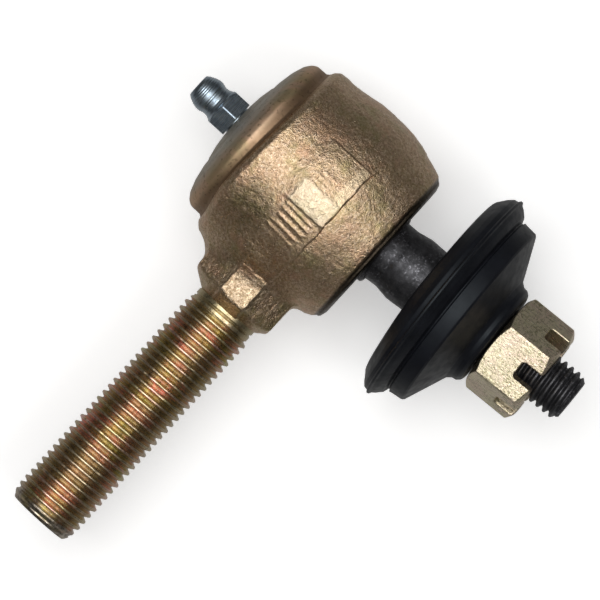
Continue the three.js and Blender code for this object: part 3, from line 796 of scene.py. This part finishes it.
def eye_slots(c, n):
    r = np.hypot(c[:, 0], c[:, 2])
    out = np.zeros(len(c))
    shift = lip_shift(c[:, 0], c[:, 1], c[:, 2])
    out[(c[:, 1] + shift < -15.0) & (r > 9.7)] = 1
    out[(r < 15.05) & (c[:, 1] > -18.9) & (c[:, 1] < 13.0)] = 2
    out[(r < 15.05) & (c[:, 1] >= 13.0) & (r < 13.2)] = 2
    return out


paint_faces(eye, eye_slots)


def shank_limit(y):
    lead = 6.42 + np.clip(y - 29.0, 0, None) * 0.75
    end = 7.05 - np.clip(y - 76.9, 0, None) * 0.78
    return np.minimum(lead, end)


def shank_wear(a, y, r):
    p = np.stack([np.cos(a) * 5, y * 0.9, np.sin(a) * 5], 1)
    nick = value_noise(p, 301)
    nick2 = value_noise(p * 2.3, 302)
    r = r - 0.10 * smoothstep(0.45, 0.9, nick) * (r > 6.6) - 0.05 * smoothstep(0.5, 0.9, nick2) * (r > 6.6)
    end = smoothstep(75.2, 77.0, y)
    worn = 6.55 - 0.45 * smoothstep(77.0, 78.4, y) + 0.25 * value_noise(np.stack([np.cos(a) * 2.2, y * 0.4, np.sin(a) * 2.2], 1), 303)
    filled = r + (worn - r) * 0.55 * end
    return np.minimum(filled, shank_limit(y)) - 0.04 * end * (0.5 + 0.5 * value_noise(np.stack([np.cos(a) * 7, y * 1.2, np.sin(a) * 7], 1), 304))


v, f = helix_thread(26.2, 78.4, 7.0, 6.12, PITCH, shank_limit, n=132, per=14, wear=shank_wear)


def y_to_x(v):
    """Axis +Y to axis +X, keeping the hand."""
    return np.stack([v[:, 1], -v[:, 0], v[:, 2]], 1)


def finish_thread(name, v, f, node, mat, body, stem=False, turn=None, cap_depth=0.0):
    vv = turn(v) if turn else v
    ob = make(name, vv, f, mat, body, node, stem=stem, sharp=60)
    import bmesh
    bm = bmesh.new()
    bm.from_mesh(ob.data)
    bmesh.ops.remove_doubles(bm, verts=bm.verts, dist=3e-6)
    bmesh.ops.dissolve_degenerate(bm, edges=bm.edges, dist=2e-6)
    holes = [e for e in bm.edges if e.is_boundary]
    bmesh.ops.holes_fill(bm, edges=holes, sides=0)
    big = [f_ for f_ in bm.faces if len(f_.verts) > 8]
    bmesh.ops.triangulate(bm, faces=big)
    bmesh.ops.recalc_face_normals(bm, faces=bm.faces)
    if bm.calc_volume(signed=True) < 0:
        bmesh.ops.reverse_faces(bm, faces=bm.faces)
    for e in bm.edges:
        e.smooth = not (e.is_manifold and e.calc_face_angle(0) > math.radians(60))
    bm.to_mesh(ob.data)
    bm.free()
    return ob


shank = finish_thread("threaded_shank", v, f, "housing", MAT["thread"], "eye", turn=y_to_x)

# --------------------------------------------------------------------------
# cover plate and grease nipple
# --------------------------------------------------------------------------
prof = fillet([
    (14.7, -17.3, 0.2), (14.7, -18.5, 0.2), (9.55, -18.5, 0.1), (9.5, -20.85, 0.35), (8.6, -21.25, 0.8), (6.2, -21.75, 2), (4.2, -21.98, 1), (3.2, -22.0, 0.15), (3.2, -20.5, 0.1),
    (5.6, -20.2, 1), (7.6, -19.6, 0.8), (8.2, -17.3, 0.3)], closed=True)
v, f = lathe(prof, 192, closed=True)
make("cover_plate_turned", v, f, MAT["lip"], "eye", "cover_plate", sharp=45)

HEX = 7.3


def hex_radius(theta, half, phase, power=46):
    s = np.zeros_like(theta)
    for k in range(6):
        c = np.maximum(np.cos(theta - phase - k * math.pi / 3), 0) / half
        s += c ** power
    return s ** (-1.0 / power)


barrel = resample(fillet([(3.42, -26.2, 0), (3.12, -26.9, 0.5), (3.08, -27.6, 0.6), (3.36, -28.5, 0.6), (3.38, -29.2, 0.8), (3.15, -30.1, 1.2), (2.7, -31.1, 0.8), (2.28, -31.66, 0.12), (2.15, -31.7, 0.05), (1.15, -31.7, 0.05), (0.98, -31.6, 0)]), 0.08)
barrel = [(r + 0.028 * math.sin(2 * math.pi * y / 0.42) * (1 if -30.9 < y < -27.0 else 0), y) for r, y in barrel]
hex_rows = [-22.3, -22.34, -22.42, -22.55, -22.8, -23.4, -24.2, -25.0, -25.4, -25.55, -25.7, -25.85, -26.0, -26.1, -26.2]
rows_prof = [("hex", y) for y in hex_rows] + [("r", r, y) for r, y in barrel[1:]]
n = 240
ang = np.linspace(0, 2 * math.pi, n, endpoint=False)
verts, rows = [], []


def add_row(r, y):
    rows.append(list(range(len(verts), len(verts) + n)))
    verts.extend([(r[j] * math.cos(a), y, -r[j] * math.sin(a)) for j, a in enumerate(ang)])


stem_rows = [(0.9, -18.6), (2.45, -18.6), (2.85, -19.0), (2.85, -22.0), (2.9, -22.3)]
for r, y in stem_rows:
    add_row(np.full(n, r), y)
for item in rows_prof:
    if item[0] == "hex":
        hr = hex_radius(ang, HEX / 2, 0.0)
        y = item[1]
        cone = 4.30 - max(0.0, -25.4 - y) * 1.1 - max(0.0, y + 22.5) * 1.4
        add_row(np.minimum(hr, cone), y)
    else:
        add_row(np.full(n, item[1]), item[2])
for r, y in [(0.95, -31.2), (1.6, -30.2), (1.6, -24.4), (0.9, -24.4), (0.9, -18.7)]:
    add_row(np.full(n, r), y)
faces = []
for i in range(len(rows)):
    a, b = rows[i], rows[(i + 1) % len(rows)]
    for j in range(n):
        k = (j + 1) % n
        faces.append([a[j], a[k], b[k], b[j]])
make("grease_nipple_turned", np.array(verts), faces, MAT["clear"], "eye", "grease_nipple_body", sharp=32)

v, f = lathe([(0, 1.25)] + arc(1.25, 4, 176, 22) + [(0, -1.25)], 48)
make("check_ball_round", v + np.array([0, -29.85, 0]), f, MAT["bearing"], "check_ball", "nipple_check_ball")


def coil(name, mean, wire, y0, y1, turns, sides, per, body, node):
    steps = int(turns * per)
    verts, faces = [], []
    for i in range(steps + 1):
        t = i / steps
        a = 2 * math.pi * turns * t
        y = y0 + (y1 - y0) * t
        c = Vector((mean * math.cos(a), y, -mean * math.sin(a)))
        tang = Vector((-mean * math.sin(a) * 2 * math.pi * turns, (y1 - y0), -mean * math.cos(a) * 2 * math.pi * turns)).normalized()
        rad = Vector((math.cos(a), 0, -math.sin(a)))
        up = tang.cross(rad).normalized()
        for j in range(sides):
            b = 2 * math.pi * j / sides
            verts.append(tuple(c + rad * (wire * math.cos(b)) + up * (wire * math.sin(b))))
    for i in range(steps):
        for j in range(sides):
            k = (j + 1) % sides
            faces.append([i * sides + j, i * sides + k, (i + 1) * sides + k, (i + 1) * sides + j])
    faces.append(list(range(sides))[::-1])
    faces.append([steps * sides + j for j in range(sides)])
    return make(name, np.array(verts), faces, MAT["spring"], body, node)


nipple_spring = coil("nipple_spring_wire", 1.1, 0.17, -28.1, -24.9, 4, 10, 36, "eye", "nipple_spring")
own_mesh(nipple_spring)
pressure_spring = coil("pressure_spring_wire", 12.9, 0.74, -10.3, -16.2, 2.75, 16, 72, "eye", "pressure_spring")
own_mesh(pressure_spring)

# --------------------------------------------------------------------------
# inner bearings
# --------------------------------------------------------------------------
prof = fillet([(r, y, 0) for r, y in arc(13.0, 116.5, 168.0, 24)] + [(2.8, -15.2, 0.2), (9.6, -15.2, 0.4), (10.8, -14.4, 0.3), (11.0, -9.2, 0.3), (14.2, -9.2, 0.3), (14.2, -5.8, 0.2)], closed=True)
v, f = lathe(prof, 144, closed=True)
make("pressure_cup_turned", v, f, MAT["bearing"], "cup", "pressure_cup")
prof = fillet([(r, y, 0) for r, y in arc(13.3, 88, 57.5, 18)] + [(11.7, 8.6, 0.1), (13.6, 8.6, 0.1), (14.2, 8.0, 0.1), (14.2, 0.48, 0.1)], closed=True)
v, f = lathe(prof, 144, closed=True)
make("bearing_ring_turned", v, f, MAT["bearing"], "seat_ring", "bearing_ring")
prof = fillet([(12.98, 0.6, 0)] + [(r, y, 0) for r, y in arc(13.0, 85, 36.2, 26)] + [(7.5, 11.2, 0.3), (7.5, 14.0, 0.3), (7.1, 14.3, 0.1), (6.73, 14.3, 0.1), (6.73, 0.6, 0.1)], closed=True)
v, f = lathe(prof, 144, closed=True)
make("half_ball_turned", v, f, MAT["black"], "half_ball", "half_ball_bearing", stem=True)

# --------------------------------------------------------------------------
# ball stud
# --------------------------------------------------------------------------
taper = [(6.65, 24.0, 3), (5.66, 39.4, 0.5), (5.6, 39.9, 0.2), (4.15, 40.8, 0.2)]
prof = [(0, -12.7)] + arc(12.7, 178, 90, 40) + fillet([(12.7, 0.3), (6.35, 0.3, 0.25), (6.35, 13.2, 0), (6.42, 14.4, 2), (6.32, 17.0, 4), (6.62, 18.7, 3), (6.82, 19.7, 2), (6.78, 21.0, 2)] + taper + [(4.15, 42.5), (0, 42.5)], step=0.15)
v, f = lathe(resample(prof, 0.3), 200)
rr = np.hypot(v[:, 0], v[:, 2])
skin = (v[:, 1] > 14.6) & (v[:, 1] < 40.5) & (rr > 1)
bump = (fractal(v, 3.0, 41, 2) * 0.05 + value_noise(v / 0.9, 44) * 0.022) * skin
v[:, 0] += v[:, 0] / np.maximum(rr, 1) * bump
v[:, 2] += v[:, 2] / np.maximum(rr, 1) * bump
make("ball_stud_turned", v, f, MAT["black"], "stud", "ball_stud", stem=True)


def stud_limit(y):
    lead = 4.15 + np.clip(y - 40.0, 0, None) * 0.85
    end = 5.0 - np.clip(y - 56.6, 0, None) * 0.85
    return np.minimum(lead, end)


v, f = helix_thread(40.1, 57.9, 4.96, 4.12, PITCH, stud_limit, n=120, per=14)
finish_thread("stud_thread", v, f, "ball_stud", MAT["black"], "stud", stem=True)

# --------------------------------------------------------------------------
# dust boot
# --------------------------------------------------------------------------
prof = fillet([
    (17.3, 24.75, 0.5), (18.3, 24.15, 0.8), (19.5, 24.45, 1.2), (21.2, 25.9, 1.0), (21.95, 26.8, 0.6), (22.08, 27.62, 0.15), (22.5, 27.9, 0.12), (22.48, 28.25, 0.12), (22.0, 28.5, 0.2),
    (21.5, 29.2, 0.6), (20.5, 30.15, 0.4), (19.25, 30.55, 0.3), (19.5, 30.95, 0.05), (19.78, 31.02, 0.08), (19.68, 31.5, 0.3), (19.45, 33.7, 0.35), (19.1, 34.05, 0.35), (11.2, 37.45, 0.6), (10.55, 38.3, 0.5), (10.45, 39.1, 0.5), (9.9, 39.75, 0.4), (9.3, 40.0, 0.2),
    (6.85, 40.0, 0.15), (6.82, 36.6, 0.3), (8.2, 35.6, 0.6), (16.2, 32.2, 0.8), (16.65, 31.2, 0.5), (16.9, 26.0, 0.5)], closed=True, step=0.14)
v, f = lathe(resample(prof, 0.35, closed=True), 360, closed=True)
rr = np.hypot(v[:, 0], v[:, 2])
wave = fractal(np.stack([v[:, 0], v[:, 1] * 0.4, v[:, 2]], 1), 9.0, 61, 2) * 0.10 * (rr > 9)
wave += 0.10 * np.exp(-((v[:, 1] - 30.35) / 0.30) ** 2) * (rr > 18.5) * np.maximum(value_noise(v / 0.8, 66), 0) * 1.6
v[:, 0] *= 1 + wave / np.maximum(rr, 1)
v[:, 2] *= 1 + wave / np.maximum(rr, 1)
v[:, 1] += 0.7 * smoothstep(27.8, 24.4, v[:, 1]) * smoothstep(2, 20, v[:, 0]) * (rr > 16.5)
make("dust_boot_moulded", v, f, MAT["rubber"], "boot", "dust_boot", stem=True, sharp=55)

# --------------------------------------------------------------------------
# castle nut
# --------------------------------------------------------------------------
N0, N1, AF = 40.4, 51.4, 18.2
TURN = math.radians(12)


def nut_sd(p):
    x, y, z = p[:, 0], p[:, 1], p[:, 2]
    r = np.hypot(x, z)
    planes = []
    d = np.full(len(p), -50.0)
    for k in range(6):
        a = TURN + k * math.pi / 3
        d = smax(d, x * math.sin(a) + z * math.cos(a) - AF / 2, 0.25)
    top = (r - 8.75 + (y - N1) * 1.55) / 1.845
    bot = (r - 8.95 - (y - N0) * 1.65) / 1.93
    d = smax(d, top, 0.12)
    d = smax(d, bot, 0.12)
    d = smax(d, y - N1, 0.25)
    d = smax(d, N0 - y, 0.25)
    hole = np.minimum(5.35 - r, 50)
    chb = (6.35 - r - (y - N0) * 1.2) / 1.56
    cht = (6.15 - r - (N1 - y) * 1.2) / 1.56
    d = smax(d, smax(hole, smax(chb, cht, 0.1), 0.1), 0.15)
    for k in range(3):
        a = TURN + k * math.pi / 3
        u = x * math.cos(a) - z * math.sin(a)
        c = 0.7
        qx, qy = np.abs(u) - (1.75 - c), (N1 - 4.4 + c) - y
        slot = np.minimum(np.maximum(qx, qy), 0) + np.hypot(np.maximum(qx, 0), np.maximum(qy, 0)) - c
        d = smax(d, -slot, 0.28)
    return d


v, q = surface_nets(nut_sd, (-11.5, N0 - 0.8, -11.5), (11.5, N1 + 0.8, 11.5), 0.17)
make("castle_nut_milled", v, q, MAT["nut"], "nut", "castle_nut", stem=True, sharp=50)

# --------------------------------------------------------------------------
# floor, light, camera
# --------------------------------------------------------------------------
world = bpy.data.worlds.new("studio")
bpy.context.scene.world = world
world.use_nodes = True
bg = world.node_tree.nodes["Background"]
bg.inputs[1].default_value = 1.0
wt = world.node_tree
tc = wt.nodes.new("ShaderNodeTexCoord")
sp = wt.nodes.new("ShaderNodeSeparateXYZ")
mp = wt.nodes.new("ShaderNodeMapRange")
cr = wt.nodes.new("ShaderNodeValToRGB")
mp.inputs[1].default_value, mp.inputs[2].default_value = -1, 1
wt.links.new(tc.outputs["Generated"], sp.inputs[0])
wt.links.new(sp.outputs["Z"], mp.inputs[0])
wt.links.new(mp.outputs[0], cr.inputs[0])
wt.links.new(cr.outputs[0], bg.inputs[0])
els = cr.color_ramp.elements
for pos, c in [(0.2, 0), (0.4, 0), (0.5, 0), (0.62, 0)]:
    els.new(pos)
for e, (pos, c) in zip(els, [(0.0, 0.38), (0.22, 0.32), (0.40, 0.15), (0.50, 0.06), (0.66, 0.07), (1.0, 0.22)]):
    e.position = pos
    e.color = (c * 1.0, c * 0.99, c * 0.97, 1)

me = bpy.data.meshes.new("floor")
S = 3.0
me.from_pydata([(-S, -S, -0.0002), (S, -S, -0.0002), (S, S, -0.0002), (-S, S, -0.0002)], [], [(0, 1, 2, 3)])
floor = bpy.data.objects.new("floor", me)
bpy.context.scene.collection.objects.link(floor)
fm = Nodes("pale_floor")
me.materials.append(fm.set(Base_Color=(0.92, 0.92, 0.92), Roughness=0.9, Specular_IOR_Level=0.1, Emission_Color=(1.0, 1.0, 1.0), Emission_Strength=0.42))
floor.visible_glossy = False

RIGHT = Vector((-0.673, 0.7396, 0)).normalized()
UP = Vector((-0.7396, -0.673, 0)).normalized()
BACK = RIGHT.cross(UP)
D = 1.0
centre = Vector(to_row([(16.59, 8.62, 0)])[0])
cam = bpy.data.objects.new("camera", bpy.data.cameras.new("camera"))
bpy.context.scene.collection.objects.link(cam)
m = Matrix((RIGHT, UP, BACK)).transposed().to_4x4()
m.translation = centre + BACK * D
cam.matrix_world = m
cam.data.sensor_width = 36
cam.data.lens = 36 * D / 0.1101
cam.data.clip_end = 20
bpy.context.scene.camera = cam


def area(name, at, target, size, power, color=(1, 1, 1), size_y=None):
    light = bpy.data.lights.new(name, "AREA")
    light.energy = power
    light.color = color
    light.size = size
    if size_y:
        light.shape = "RECTANGLE"
        light.size_y = size_y
    ob = bpy.data.objects.new(name, light)
    bpy.context.scene.collection.objects.link(ob)
    ob.location = at
    ob.rotation_euler = (Vector(target) - Vector(at)).to_track_quat("-Z", "Y").to_euler()
    return ob


def radiance(light, value):
    """Power for a given brightness of the panel itself."""
    a = light.size * (light.size_y if light.shape == "RECTANGLE" else light.size)
    light.energy = value * math.pi * a


mid = Vector(to_row([(6.0, 0.0, 0)])[0])
key = area("key_panel", mid + BACK * 1.32 - Vector((0, 0.26, 0)) + UP * 0.02, mid, 0.80, 1)
radiance(key.data, 3.0)
dome = area("overhead_panel", mid + BACK * 1.40, mid, 2.1, 1, color=(1.0, 0.985, 0.96))
radiance(dome.data, 0.60)

low = area("low_panel", mid + BACK * 1.32 + Vector((0, 0.60, 0)), mid, 0.42, 1)
radiance(low.data, 3.6)

bpy.context.scene.view_settings.view_transform = "Standard"
bpy.context.scene.view_settings.look = "None"
